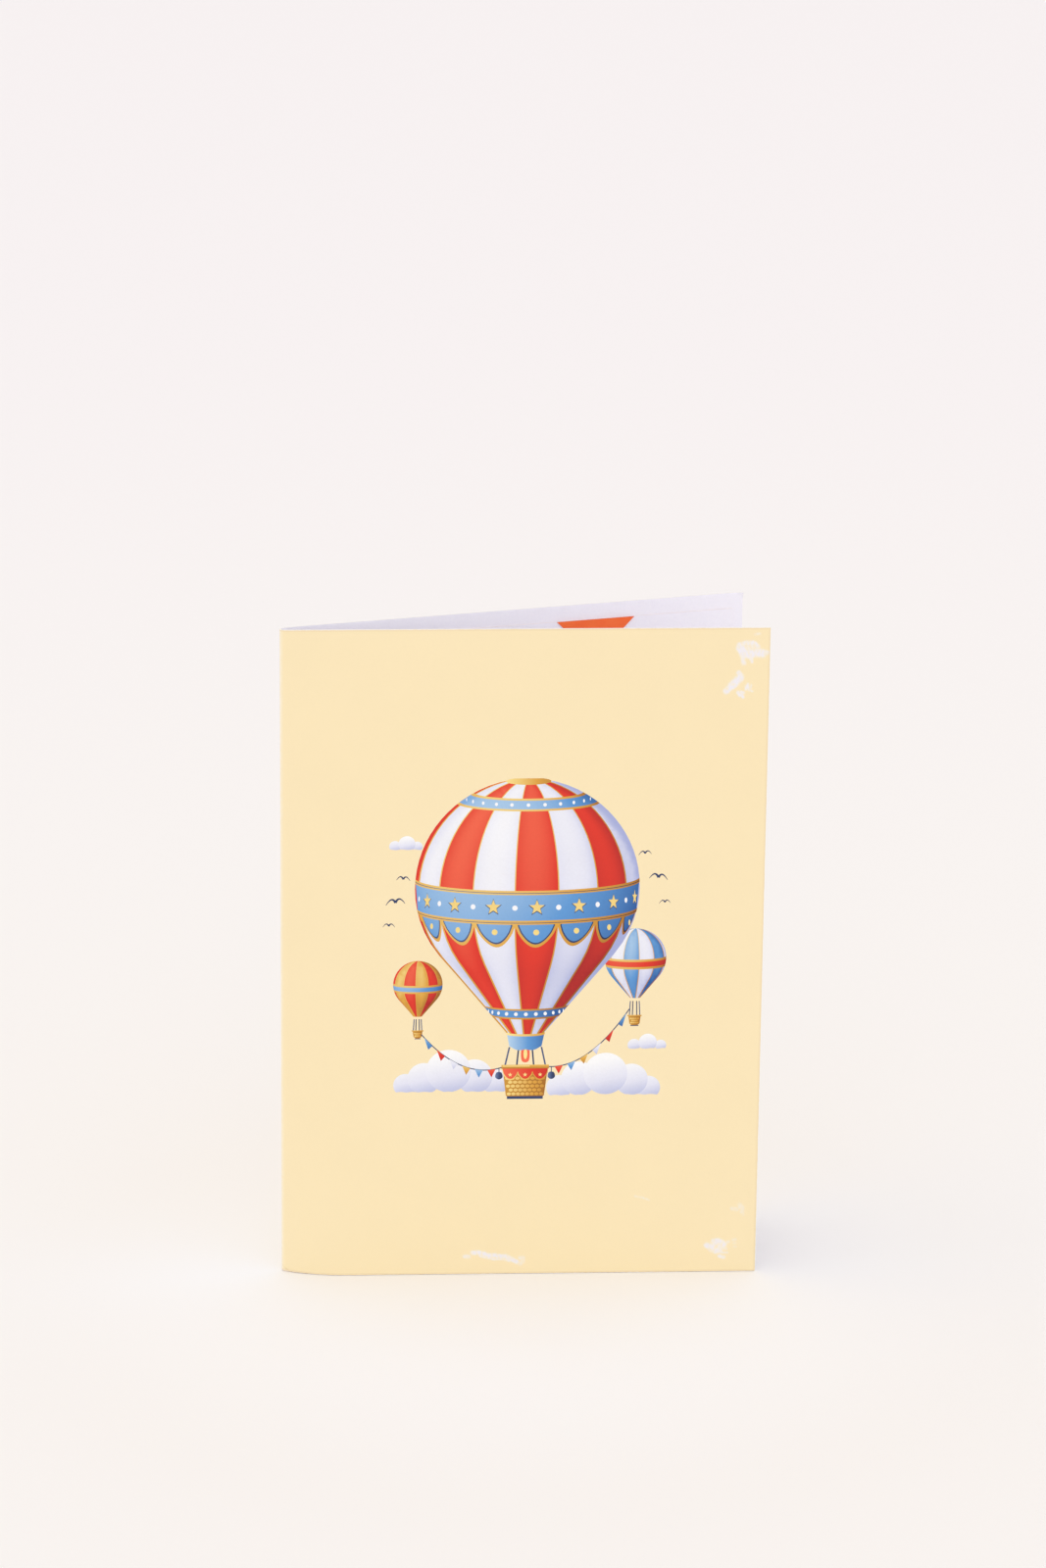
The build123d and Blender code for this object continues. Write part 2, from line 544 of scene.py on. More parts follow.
def sandbag(x, top):
    """A small bag hung on a cord."""
    bag = rounded([(x - 0.75, top - 1.5), (x - 0.95, top - 2.7), (x, top - 3.3), (x + 0.95, top - 2.7),
                   (x + 0.75, top - 1.5), (x, top - 1.2)])
    cord = ribbon([(x, top), (x, top - 1.3)], 0.22)
    return [Shape(cord, "navy", 0.5), Shape(bag, "navy", lambda a, b: 0.55 - 0.35 * (a - x))]


def cloud(x, base, puffs):
    """A flat-bottomed cloud of overlapping puffs: (offset, height, radius) from its middle."""
    tallest = max(height + radius for _, height, radius in puffs)
    shapes = []
    for offset, height, radius in puffs:
        outline = ellipse(x + offset, base + height, radius, radius, 36)
        outline = [(a, max(b, base + 0.08 * math.sin(2 * a))) for a, b in outline]

        def tone(a, b, cx=x + offset, cz=base + height, r=radius):
            own = 0.16 * ((b - cz) - 0.6 * (a - cx)) / r
            return 0.34 + 0.62 * (b - base) / tallest + own

        shapes.append(Shape(outline, "white", tone))
    return shapes


def bird(x, z, size, lean):
    """A bird seen far off: two bent wings that taper."""
    shapes = []
    for side in (-1, 1):
        path = []
        for u in span(0.0, 1.0, 9):
            rise = 0.42 * math.sin(math.pi * u ** 0.8) - 0.18 * u * u
            path.append((x + side * size * u, z + size * (rise + side * lean * u)))
        shapes.append(Shape(ribbon(path, 0.26 * size, 0.05 * size), "navy", 0.4))
    return shapes


FLAG_INKS = ("red", "blue", "gold", "white")
FLAG_DROP = 2.2


def bunting(start, end, sag, flags):
    """A string of small flags between two points."""
    def along(u):
        x = start[0] + (end[0] - start[0]) * u
        z = start[1] + (end[1] - start[1]) * u - 4 * sag * u * (1 - u)
        return x, z

    shapes = [Shape(ribbon([along(u) for u in span(0, 1, 21)], 0.28), "navy", 0.45)]
    for i in range(flags):
        ax, az = along((i + 0.62) / (flags + 0.5))
        bx, bz = along((i + 1.28) / (flags + 0.5))
        tip = ((ax + bx) / 2, (az + bz) / 2 - FLAG_DROP)

        def tone(a, b, top=max(az, bz)):
            return 0.8 - 0.2 * (top - b)

        shapes.append(Shape([(ax, az), (bx, bz), tip], FLAG_INKS[i % len(FLAG_INKS)], tone))
    return shapes


# Each cloud is its middle, its base and its puffs, in painter's order.
LOW_CLOUDS = (
    (47.0, 51.6, [(-13.5, 1.9, 3.2), (-8.6, 3.7, 4.4), (10.2, 2.6, 3.6), (4.6, 4.2, 4.8), (-2.2, 5.8, 5.9)]),
    (84.6, 50.4, [(12.8, 1.9, 3.3), (-10.6, 2.2, 3.4), (8.4, 4.2, 4.4), (-5.4, 4.6, 4.7), (1.6, 5.9, 5.8)]),
)
HIGH_CLOUDS = (
    (97.0, 63.2, [(-3.4, 1.0, 1.7), (3.6, 0.9, 1.5), (0.2, 1.7, 2.4)]),
    (33.2, 118.5, [(-2.8, 0.9, 1.5), (3.0, 0.8, 1.4), (0.3, 1.5, 2.2)]),
)
# Each bird is its place, the length of a wing and its lean.
BIRDS = (
    (30.6, 104.0, 2.5, 0.10),
    (32.6, 110.4, 1.8, -0.06),
    (28.9, 97.6, 1.6, 0.0),
    (99.2, 110.4, 2.4, -0.10),
    (95.6, 117.0, 1.7, 0.08),
    (101.0, 103.6, 1.5, 0.04),
)
BASKET_RIM = 58.4            # the height of the main basket's rim
BASKET_HALF_WIDTH = 6.0
SKIRT_DEPTH = 3.6


def small_balloon(balloon, band_ink):
    """A balloon far off, with a basket and one band, sized by its radius."""
    r = balloon.radius
    rim = balloon.throat - 0.62 * r
    shapes = ropes(balloon, 0.1 * r, rim, 0.17 * r, 0.26)
    shapes += basket(balloon.x, rim, 0.2 * r, 0.34 * r, 3, 4)
    shapes += balloon.envelope(0.22)
    shapes.append(balloon.band(balloon.middle - 0.28 * r, balloon.middle + 0.06 * r, "gold"))
    shapes.append(balloon.band(balloon.middle - 0.2 * r, balloon.middle - 0.02 * r, band_ink))
    return shapes


def main_balloon(balloon):
    """The balloon in front: its basket and skirt, its envelope and everything sewn on it."""
    x, rim = balloon.x, BASKET_RIM
    shapes = ropes(balloon, SKIRT_DEPTH, rim, 5.4, 0.42)
    shapes += mouth(balloon, SKIRT_DEPTH, "blue")
    shapes += basket(x, rim, BASKET_HALF_WIDTH, 8.6, 7, 8)
    shapes += basket_drape(x, rim - 0.5, BASKET_HALF_WIDTH, 3.3)
    for side in (-1, 1):
        shapes += sandbag(x + side * (BASKET_HALF_WIDTH + 0.9), rim - 0.2)
    shapes += balloon.envelope(0.42)
    shapes += collar(balloon, balloon.throat + 4.6, balloon.throat + 7.8, "blue", 0.52)
    shapes += collar(balloon, balloon.top - 6.6, balloon.top - 3.7, "blue", 0.48)
    return shapes + belt(balloon) + crown_patch(balloon)


def balloon_picture():
    """Everything printed on the front panel, in painter's order."""
    main = Balloon(x=65.0, top=137.7, radius=29.5, gores=16, colours=("red", "white"), turn=5.0)
    right = Balloon(x=93.6, top=96.5, radius=8.1, gores=12, colours=("blue", "white"), turn=-8.0)
    left = Balloon(x=36.6, top=88.0, radius=6.5, gores=12, colours=("gold", "red"), turn=10.0)

    shapes = []
    for x, base, puffs in LOW_CLOUDS:
        shapes += cloud(x, base, puffs)
    shapes += small_balloon(right, "red") + small_balloon(left, "blue")
    for x, base, puffs in HIGH_CLOUDS:
        shapes += cloud(x, base, puffs)
    shapes += bunting((59.3, BASKET_RIM), (37.6, 67.6), 4.2, 6)
    shapes += bunting((70.7, BASKET_RIM), (92.2, 74.2), 4.4, 6)
    shapes += main_balloon(main)
    for x, z, size, lean in BIRDS:
        shapes += bird(x, z, size, lean)
    return shapes


# ---------------------------------------------------------------- scuffs on the front

# Each rub is a path, its half-width and how far it has gone through the print, up to 1.
WING = [
    ([(118.9, 173.2), (120.5, 173.7), (122.6, 173.8), (123.7, 172.8)], 0.6, 0.75),
    ([(119.2, 172.5), (119.8, 171.4), (120.6, 170.9)], 1.0, 1.0),
    ([(119.6, 170.6), (120.0, 169.4), (120.2, 168.3)], 0.55, 0.8),
    ([(120.8, 170.8), (122.4, 170.8), (123.8, 171.1), (124.9, 170.9)], 1.05, 0.95),
    ([(125.0, 171.3), (126.3, 171.1)], 0.55, 0.75),
    ([(121.1, 171.6), (121.2, 169.8)], 0.25, 0.7),
    ([(121.7, 171.6), (121.9, 169.3)], 0.22, 0.75),
    ([(122.2, 170.6), (122.3, 168.6)], 0.3, 0.9),
    ([(120.9, 172.7), (122.6, 172.6)], 0.8, 0.45),
    ([(123.0, 176.0), (124.2, 176.2)], 0.35, 0.3),
]
SLANT = [
    ([(119.0, 165.7), (119.6, 164.9)], 0.65, 0.75),
    ([(119.3, 164.4), (118.4, 163.4), (117.3, 162.3)], 0.95, 1.0),
    ([(117.3, 162.2), (116.2, 161.3), (115.8, 160.8)], 0.75, 0.85),
    ([(118.9, 160.5), (119.4, 159.7)], 0.45, 0.8),
    ([(119.7, 160.5), (120.2, 159.2)], 0.4, 0.75),
    ([(119.3, 160.1), (120.3, 160.4)], 0.35, 0.7),
    ([(120.9, 162.2), (120.9, 161.2)], 0.3, 0.75),
    ([(121.4, 162.7), (121.5, 161.4)], 0.3, 0.8),
    ([(122.3, 162.5), (122.1, 161.6)], 0.22, 0.6),
    ([(121.6, 161.1), (122.6, 160.8)], 0.25, 0.6),
]
SHELL = [
    ([(114.0, 7.5), (114.6, 7.2), (115.4, 7.2)], 0.75, 0.95),
    ([(115.8, 8.8), (117.0, 8.9), (118.1, 8.4)], 0.6, 0.85),
    ([(115.9, 8.0), (117.3, 8.2), (118.6, 7.6)], 0.7, 0.8),
    ([(115.2, 6.4), (116.3, 5.9), (117.4, 6.1)], 0.7, 0.85),
    ([(117.4, 7.2), (118.9, 7.2)], 0.4, 0.75),
    ([(117.6, 6.3), (119.2, 6.5)], 0.3, 0.6),
    ([(117.8, 5.5), (119.4, 5.4)], 0.3, 0.6),
    ([(117.4, 4.4), (118.6, 4.1)], 0.45, 0.8),
    ([(119.2, 8.4), (119.8, 8.5)], 0.35, 0.5),
    ([(115.5, 7.6), (117.8, 7.4)], 1.1, 0.4),
    ([(120.9, 9.0), (121.6, 9.1)], 0.35, 0.35),
    ([(121.1, 8.1), (121.7, 8.1)], 0.3, 0.25),
    ([(121.3, 7.1), (121.8, 7.1)], 0.3, 0.25),
]
FAINT = [
    ([(120.5, 17.9), (121.8, 17.7)], 0.5, 0.35),
    ([(121.6, 17.5), (122.8, 18.6)], 0.4, 0.3),
    ([(122.5, 19.0), (123.2, 18.2), (123.2, 16.9)], 0.55, 0.35),
    ([(123.2, 16.9), (123.6, 16.0)], 0.3, 0.2),
]
WAVE = [
    ([(49.5, 5.1), (50.6, 5.0)], 0.5, 0.75),
    ([(51.6, 6.1), (53.2, 6.2), (54.7, 5.8)], 0.55, 1.0),
    ([(54.7, 5.8), (56.0, 5.3), (57.6, 5.3), (59.2, 5.0), (60.7, 5.0)], 0.55, 1.0),
    ([(60.7, 4.9), (62.1, 4.2), (63.4, 3.4)], 0.55, 0.9),
    ([(53.6, 5.2), (55.5, 4.6), (57.4, 4.2), (59.4, 4.3), (61.5, 3.7)], 0.3, 0.65),
    ([(64.2, 4.6), (65.1, 4.6), (65.0, 3.4), (64.2, 2.8)], 0.5, 0.45),
]
SCRATCHES = [([(94.6, 21.7), (96.4, 21.3), (98.3, 20.6)], 0.22, 0.4)]
RUB_STREAK = 1.7             # streaks to the mm
RUB_MARGIN = 1.7             # of untouched print round the rubs in a patch
PATCH_FOOT = 0.6             # a patch stays this far above the bottom edge
PATCH_CLEAR = 0.1            # and this far inside the panel's other edges


def distance_to(path, x, z):
    """How far a place is from a path."""
    nearest = math.inf
    for (ax, az), (bx, bz) in zip(path, path[1:]):
        reach = (bx - ax) ** 2 + (bz - az) ** 2
        share = ((x - ax) * (bx - ax) + (z - az) * (bz - az)) / reach
        share = min(max(share, 0.0), 1.0)
        nearest = min(nearest, math.hypot(x - ax - share * (bx - ax), z - az - share * (bz - az)))
    return nearest


def rubbed_area(rubs, seed):
    """A patch of the cream print with rubs in it. Its tone meets the print's at its outline."""
    places = [place for path, _, _ in rubs for place in path]
    low = [max(min(place[k] for place in places) - RUB_MARGIN, PATCH_FOOT) for k in (0, 1)]
    high = [max(place[k] for place in places) + RUB_MARGIN for k in (0, 1)]
    high = [min(high[0], PANEL_WIDTH - PATCH_CLEAR), min(high[1], PANEL_HEIGHT - PATCH_CLEAR)]

    def tone(x, z):
        worn = 0.0
        for path, reach, strength in rubs:
            worn = max(worn, strength * smooth(1.5 - distance_to(path, x, z) / reach))
        if worn:
            streak = noise.noise(Vector((RUB_STREAK * x + 0.8 * z, 0.9 * z, seed)))
            worn *= 0.9 + 0.45 * streak
        return PRINT_TONE + (1 - PRINT_TONE) * min(worn, 1.0)

    return Shape(rectangle(low, high), "cream", tone)


def crease_shade_area(path, reach, depth):
    """A patch of the cream print with painted shade along a crease's path."""
    (first_x, first_z), (last_x, last_z) = path[0], path[-1]
    middle = [sum(place[k] for place in path) / len(path) for k in (0, 1)]
    half = 0.5 * math.dist(path[0], path[-1]) + reach
    slope = math.degrees(math.atan2(last_z - first_z, last_x - first_x))
    outline = ellipse(*middle, half, 1.2 * reach, 48, slope)

    def tone(x, z):
        # painted shade: the print darkens towards the crease's line
        return PRINT_TONE * (1 - depth * smooth(1 - distance_to(path, x, z) / reach))

    return Shape(outline, "cream", tone)


RUBBED_SPOTS = (WING, SLANT, SHELL, FAINT, WAVE, SCRATCHES)
CORNER_CREASE_SHADE = [(0.6, 1.9), (1.1, 1.1), (2.0, 0.5)]


def scuff_marks():
    """Where the print is rubbed through to white, and the painted shade of the crease at the foot of the
    fold.
    """
    marks = [rubbed_area(rubs, float(seed)) for seed, rubs in enumerate(RUBBED_SPOTS)]
    marks.append(crease_shade_area(CORNER_CREASE_SHADE, 0.45, 0.4))
    return marks


# ---------------------------------------------------------------- materials

def linear(colour):
    """A colour written 0 to 255, as Blender's linear values."""
    values = []
    for part in colour:
        part /= 255
        values.append(part / 12.92 if part <= 0.04045 else ((part + 0.055) / 1.055) ** 2.4)
    return (*values, 1.0)


class Nodes:
    """A material's node tree, with short calls for the few nodes used here."""

    def __init__(self, name):
        self.material = bpy.data.materials.new(name)
        self.material.use_nodes = True
        self.tree = self.material.node_tree
        self.shader = self.tree.nodes["Principled BSDF"]
        self.shader.inputs["Specular IOR Level"].default_value = 0.25
        self.place = self.add("ShaderNodeTexCoord").outputs["Object"]

    def add(self, kind, **settings):
        """A new node with some of its properties set."""
        node = self.tree.nodes.new(kind)
        for key, value in settings.items():
            setattr(node, key, value)
        return node

    def join(self, source, socket):
        """Links an output to an input."""
        self.tree.links.new(source, socket)

    def attribute(self, name, output="Fac"):
        """A value kept on the mesh."""
        return self.add("ShaderNodeAttribute", attribute_name=name).outputs[output]

    def grain(self, scale, detail=3.0, roughness=0.55, stretch=None):
        """Noise over the object, from 0 to 1. Scale is in features to the metre."""
        node = self.add("ShaderNodeTexNoise")
        node.inputs["Scale"].default_value = scale
        node.inputs["Detail"].default_value = detail
        node.inputs["Roughness"].default_value = roughness
        place = self.place
        if stretch:
            mapping = self.add("ShaderNodeMapping")
            mapping.inputs["Scale"].default_value = stretch
            self.join(place, mapping.inputs["Vector"])
            place = mapping.outputs["Vector"]
        self.join(place, node.inputs["Vector"])
        return node.outputs["Fac"]

    def ranged(self, value, low, high, to_low, to_high, steps="LINEAR"):
        """A value mapped from one range to another."""
        node = self.add("ShaderNodeMapRange", interpolation_type=steps)
        self.join(value, node.inputs["Value"])
        limits = {"From Min": low, "From Max": high, "To Min": to_low, "To Max": to_high}
        for key, limit in limits.items():
            node.inputs[key].default_value = limit
        return node.outputs["Result"]

    def feed(self, socket, value):
        """A plain value set on a socket, or a link to it."""
        if isinstance(value, (int, float, tuple)):
            socket.default_value = value
        else:
            self.join(value, socket)

    def maths(self, operation, first, second):
        """The sum, product or such of two values."""
        node = self.add("ShaderNodeMath", operation=operation)
        self.feed(node.inputs[0], first)
        self.feed(node.inputs[1], second)
        return node.outputs[0]

    def blend(self, factor, first, second, kind="MIX"):
        """Two colours mixed."""
        node = self.add("ShaderNodeMix", data_type="RGBA", blend_type=kind)
        self.feed(node.inputs[0], factor)
        self.feed(node.inputs[6], first)     # inputs 6 and 7 and output 2 are the colours
        self.feed(node.inputs[7], second)
        return node.outputs[2]

    def ramp(self, value, *colours):
        """A ramp of evenly spaced colours."""
        node = self.add("ShaderNodeValToRGB")
        stops = node.color_ramp.elements
        while len(stops) < len(colours):
            stops.new(0.5)
        for i, colour in enumerate(colours):
            stops[i].position = i / (len(colours) - 1)
            stops[i].color = linear(colour)
        self.join(value, node.inputs["Fac"])
        return node.outputs["Color"]

    def paper(self, colour, tooth, roughness, mottle=0.012):
        """The finish that every paper shares: cloudy colour, fibre tooth and uneven gloss."""
        cloud_level = self.ranged(self.grain(55, 4), 0.3, 0.7, 1 - mottle, 1 + 0.4 * mottle)
        speck_level = self.ranged(self.grain(1900, 2), 0.3, 0.7, 1 - 0.7 * mottle, 1 + 0.3 * mottle)
        level = self.maths("MULTIPLY", cloud_level, speck_level)
        self.join(self.blend(1.0, colour, level, "MULTIPLY"), self.shader.inputs["Base Color"])
        gloss = self.ranged(self.grain(420, 4), 0.3, 0.7, roughness - 0.06, roughness + 0.06)
        self.join(gloss, self.shader.inputs["Roughness"])
        fibres = self.grain(2600, 5, 0.65, (1.0, 1.0, 0.45))
        bump = self.add("ShaderNodeBump")
        bump.inputs["Strength"].default_value = tooth
        bump.inputs["Distance"].default_value = 0.02 * MM
        self.join(fibres, bump.inputs["Height"])
        self.join(bump.outputs["Normal"], self.shader.inputs["Normal"])
        return self.material


CREAM = (252, 233, 190)
CREAM_TONES = ((206, 180, 138), (238, 217, 172), CREAM, (249, 240, 224), (244, 240, 246))
FOLD_HIGHLIGHT = (255, 247, 228)
EDGE_SHADE = (238, 214, 172)
CORE_SHADE = (244, 238, 230)
CORE_WHITE = (252, 247, 240)
# painted contact shadow on the bottom cut edge
FOOT_SHADE = (246, 228, 200)
COOL_WHITE = (250, 247, 255)
LINER_EDGE = (253, 234, 226)
TAB_TONES = ((252, 106, 50), (255, 114, 56), (255, 124, 62))
# painted shadow along the red tab's cut edges
TAB_EDGE_SHADOW = (216, 92, 62)

FOLD_HIGHLIGHT_SPAN = (0.2, 1.7)        # mm from the fold's middle over which its painted highlight, with cracked ink, dies out
EDGE_SHADE_SPAN = (0.2, 0.7)         # mm from a cut edge over which the print has a little painted shade
RAGGED = (0.02, 0.16)        # mm from a cut edge over which the print is worn off

INKS = {
    "red": ((172, 38, 38), (228, 58, 42), (250, 116, 84)),
    "white": ((170, 178, 222), (232, 233, 248), (255, 255, 255)),
    "gold": ((158, 98, 36), (226, 168, 70), (255, 232, 150)),
    "blue": ((44, 92, 160), (98, 156, 216), (196, 224, 246)),
    "navy": ((24, 30, 56), (58, 72, 112), (124, 142, 184)),
}


def ink_material(name, stops):
    """Ink printed on the coated cover: an airbrushed tone and a slight sheen."""
    nodes = Nodes("ink_" + name)
    colour = nodes.ramp(nodes.attribute("tone"), *stops)
    return nodes.paper(colour, 0.10, 0.46, 0.03)


def cream_material():
    """The cream cover print: rubbed paler in scuffs and at cut edges, with a painted highlight and cracked
    ink at the fold and painted shade near cut edges.
    """
    nodes = Nodes("cream_print")
    lie = nodes.add("ShaderNodeSeparateXYZ")
    nodes.join(nodes.attribute("lie", "Vector"), lie.inputs["Vector"])
    tone = nodes.attribute("tone")
    worn = nodes.maths("SUBTRACT", tone, PRINT_TONE)
    wisps = nodes.ranged(nodes.grain(1700, 4, 0.6, (1.0, 1.0, 0.5)), 0.3, 0.7, -0.55, 0.55)
    value = nodes.maths("ADD", tone, nodes.maths("MULTIPLY", worn, wisps))
    colour = nodes.ramp(value, *CREAM_TONES)

    # painted highlight on the fold's round, broken up like cracked ink
    from_fold = nodes.maths("ABSOLUTE", lie.outputs["X"], 0.0)
    fold_highlight = nodes.ranged(from_fold, *FOLD_HIGHLIGHT_SPAN, 0.7, 0.0, "SMOOTHSTEP")
    crackle = nodes.ranged(nodes.grain(900, 4, 0.7), 0.38, 0.62, 0.6, 1.0)
    colour = nodes.blend(nodes.maths("MULTIPLY", fold_highlight, crackle), colour, linear(FOLD_HIGHLIGHT))

    from_side = nodes.maths("SUBTRACT", PANEL_WIDTH, from_fold)
    from_top = nodes.maths("SUBTRACT", PANEL_HEIGHT, lie.outputs["Z"])
    nearest = nodes.maths("MINIMUM", from_side, nodes.maths("MINIMUM", from_top, lie.outputs["Z"]))
    # painted shade along the panel's cut edges
    edge_shade_mask = nodes.ranged(nearest, *EDGE_SHADE_SPAN, 0.5, 0.0, "SMOOTHSTEP")
    colour = nodes.blend(edge_shade_mask, colour, linear(EDGE_SHADE))
    ragged = nodes.maths("ADD", nearest, nodes.ranged(nodes.grain(700, 4, 0.7), 0.3, 0.7, -0.05, 0.08))
    rubbed = nodes.ranged(ragged, *RAGGED, 0.8, 0.0, "SMOOTHSTEP")
    colour = nodes.blend(rubbed, colour, linear(CORE_WHITE))
    return nodes.paper(colour, 0.14, 0.52, 0.010)


def core_material():
    """The white core at the cover's cut edges, with painted contact shadow where its tone is 0, at the foot.
    """
    nodes = Nodes("cut_edge")
    plies = nodes.grain(5200, 2, 0.5, (1.0, 1.0, 0.12))
    colour = nodes.ramp(plies, CORE_SHADE, CORE_WHITE)
    colour = nodes.blend(nodes.attribute("tone"), linear(FOOT_SHADE), colour)
    return nodes.paper(colour, 0.3, 0.8, 0.02)


def white_material(name, colour):
    """Plain uncoated paper with faint fibres."""
    nodes = Nodes(name)
    fibres = nodes.ranged(nodes.grain(1300, 5, 0.7), 0.3, 0.7, 0.0, 1.0)
    paler = tuple(min(255, part + 2) for part in colour)
    darker = tuple(part - 2 for part in colour)
    return nodes.paper(nodes.ramp(fibres, darker, colour, paler), 0.30, 0.78, 0.012)


def red_paper_material():
    """The red tab's printed face."""
    nodes = Nodes("red_paper")
    tone = nodes.ranged(nodes.grain(260, 4), 0.3, 0.7, 0.2, 0.8)
    return nodes.paper(nodes.ramp(tone, *TAB_TONES), 0.16, 0.55, 0.02)


# ---------------------------------------------------------------- leaves of paper

def boundary(corners, stops_t, stops_z):
    """A convex outline in (t, z) with points added where the grid's lines meet it."""
    points = []
    for a, b in zip(corners, corners[1:] + corners[:1]):
        cuts = {0.0}
        for axis, stops in ((0, stops_t), (1, stops_z)):
            reach = b[axis] - a[axis]
            if abs(reach) > 1e-9 and (abs(b[1 - axis] - a[1 - axis]) < 1e-9 or axis == 1):
                cuts.update((stop - a[axis]) / reach for stop in stops)
        for cut in sorted(c for c in cuts if 0 <= c < 1 - 1e-6):
            points.append((a[0] + (b[0] - a[0]) * cut, a[1] + (b[1] - a[1]) * cut))
    return points


def triangulate(outline, inside, shapes):
    """The triangles of a face. Each knows the last shape drawn over it, or -1."""
    places = [Vector(p) for p in outline + inside]
    edges = [(i, (i + 1) % len(outline)) for i in range(len(outline))]
    loops = []
    for shape in shapes:
        loops.append(list(range(len(places), len(places) + len(shape.outline))))
        places += [Vector(p) for p in shape.outline]
    verts, _, faces, origins, _, owners = delaunay_2d_cdt(places, edges, loops, 0, 1e-6, True)
    where = {source: i for i, sources in enumerate(origins) for source in sources}
    rim = [where[i] for i in range(len(outline))]
    tops = [max(owner, default=-1) for owner in owners]
    return [tuple(v) for v in verts], [tuple(f) for f in faces], tops, rim


class Leaf:
    """A sheet of paper with two faces and cut edges, as one closed mesh.

    Each face's corner keeps its place, its tone and which side it is on, None at a cut edge.
    """

    def __init__(self, name, point, levels, materials):
        self.name, self.point, self.levels = name, point, levels
        self.materials = materials
        self.verts, self.normals = [], []
        self.faces, self.slots, self.corners = [], [], []

    def add_face(self, places, triangles, slots, tones, outer):
        """One of the two faces. Returns the index of its first vertex."""
        first = len(self.verts)
        depth = self.levels[0] if outer else self.levels[1]
        sign = 1 if outer else -1
        for t, z in places:
            self.verts.append(self.point(t, z, depth))
            self.normals.append(sign * leaf_normal(t, z, depth))
        known = {}
        for triangle, slot, tone in zip(triangles, slots, tones):
            if not outer:
                triangle = triangle[::-1]
            for i in triangle:
                if (tone, i) not in known:
                    known[tone, i] = tone(*places[i])
            self.faces.append(tuple(first + i for i in triangle))
            self.slots.append(slot)
            self.corners.append([(*places[i], known[tone, i], outer) for i in triangle])
        return first

    def add_edges(self, outline, outer_rim, inner_rim, slot):
        """The cut edge between the two faces."""
        count = len(outline)
        for i in range(count):
            j = (i + 1) % count
            self.faces.append((outer_rim[i], inner_rim[i], inner_rim[j], outer_rim[j]))
            self.slots.append(slot)
            # the bottom cut edge gets tone 0, which the core material turns into painted contact shadow
            tone = 0.0 if outline[i][1] == outline[j][1] == 0 else 1.0
            self.corners.append([(*outline[k], tone, None) for k in (i, i, j, j)])

    def build(self):
        """The finished object."""
        mesh = bpy.data.meshes.new(self.name)
        mesh.from_pydata(self.verts, [], self.faces)
        for material in self.materials:
            mesh.materials.append(material)
        mesh.polygons.foreach_set("material_index", self.slots)
        flat = [corner for face in self.corners for corner in face]
        tone = mesh.attributes.new("tone", "FLOAT", "CORNER")
        tone.data.foreach_set("value", [min(max(c[2], 0.0), 1.0) for c in flat])
        lie = mesh.attributes.new("lie", "FLOAT_VECTOR", "CORNER")
        lie.data.foreach_set("vector", [part for c in flat for part in (c[0], 0.0, c[1])])
        mesh.update()
        normals = []
        for polygon, corners in zip(mesh.polygons, self.corners):
            polygon.use_smooth = True
            for vertex, corner in zip(polygon.vertices, corners):
                normals.append(polygon.normal if corner[3] is None else self.normals[vertex])
        mesh.normals_split_custom_set(normals)
        piece = bpy.data.objects.new(self.name, mesh)
        bpy.context.scene.collection.objects.link(piece)
        return piece


def plain_tone(x, z):
    """The tone where nothing is drawn."""
    return PRINT_TONE


LEAST_GAP = 0.02             # grid lines nearer than this are one line


def grid_stops(low, high, coarse, fine_spans):
    """Grid lines from low to high: coarse ones, and finer ones within some spans."""
    stops = {round(v, 4) for v in span(low, high, int(math.ceil((high - low) / coarse)) + 1)}
    for start, end, pitch in fine_spans:
        stops |= {round(v, 4) for v in span(start, end, int(math.ceil((end - start) / pitch)) + 1)}
    kept = []
    for stop in sorted(s for s in stops if low <= s <= high):
        if not kept or stop - kept[-1] > LEAST_GAP:
            kept.append(stop)
    kept[-1] = high
    return kept


FOLD_SPAN = 1.7              # half of the fold's round, and a little more
BOW_SPAN = 20.0              # past the end of the longest bow
FOLD_LINES = [(-FOLD_SPAN, FOLD_SPAN, 0.17), (-BOW_SPAN, BOW_SPAN, 1.0)]
COARSE_PITCH = 6.0
LINER_PITCH = 8.0
KNOCK_PITCH = 0.28           # at the dent and the bottom edge
DOG_EAR_SPAN = 3.0
DOG_EAR_PITCH = 0.4
PICTURE_SPAN = ((26.0, 104.0), (48.0, 139.0))
PICTURE_PITCH = 1.15
SCUFF_PITCH = 0.26
SCUFF_SPANS = (
    ((114.6, 126.8), (158.0, 177.0)),   # the wing and the slant
    ((113.0, 124.4), (3.2, 20.0)),      # the shell and the faint rubs above it
    ((48.6, 66.2), (2.0, 7.2)),         # the wave
    ((0.15, 2.6), (0.15, 2.6)),         # the crease's painted shade at the foot of the fold
    ((93.8, 99.0), (19.8, 22.4)),       # the scratch
)
DENSE_SPANS = [(PICTURE_SPAN, PICTURE_PITCH)] + [(spans, SCUFF_PITCH) for spans in SCUFF_SPANS]


def cover_grid(corners):
    """The outline of the cover and the points inside it that carry its curves and wear."""
    knock_columns = [(0.2, 4.2, KNOCK_PITCH), (-PANEL_WIDTH, -PANEL_WIDTH + DOG_EAR_SPAN, DOG_EAR_PITCH)]
    knock_rows = [(0.0, 3.6, KNOCK_PITCH), (PANEL_HEIGHT - DOG_EAR_SPAN, PANEL_HEIGHT, DOG_EAR_PITCH)]
    columns = grid_stops(-PANEL_WIDTH, PANEL_WIDTH, COARSE_PITCH, FOLD_LINES + knock_columns)
    rows = grid_stops(0.0, PANEL_HEIGHT, COARSE_PITCH, knock_rows)
    outline = boundary(corners, columns, rows)
    return outline, filled(columns[1:-1], rows[1:-1])


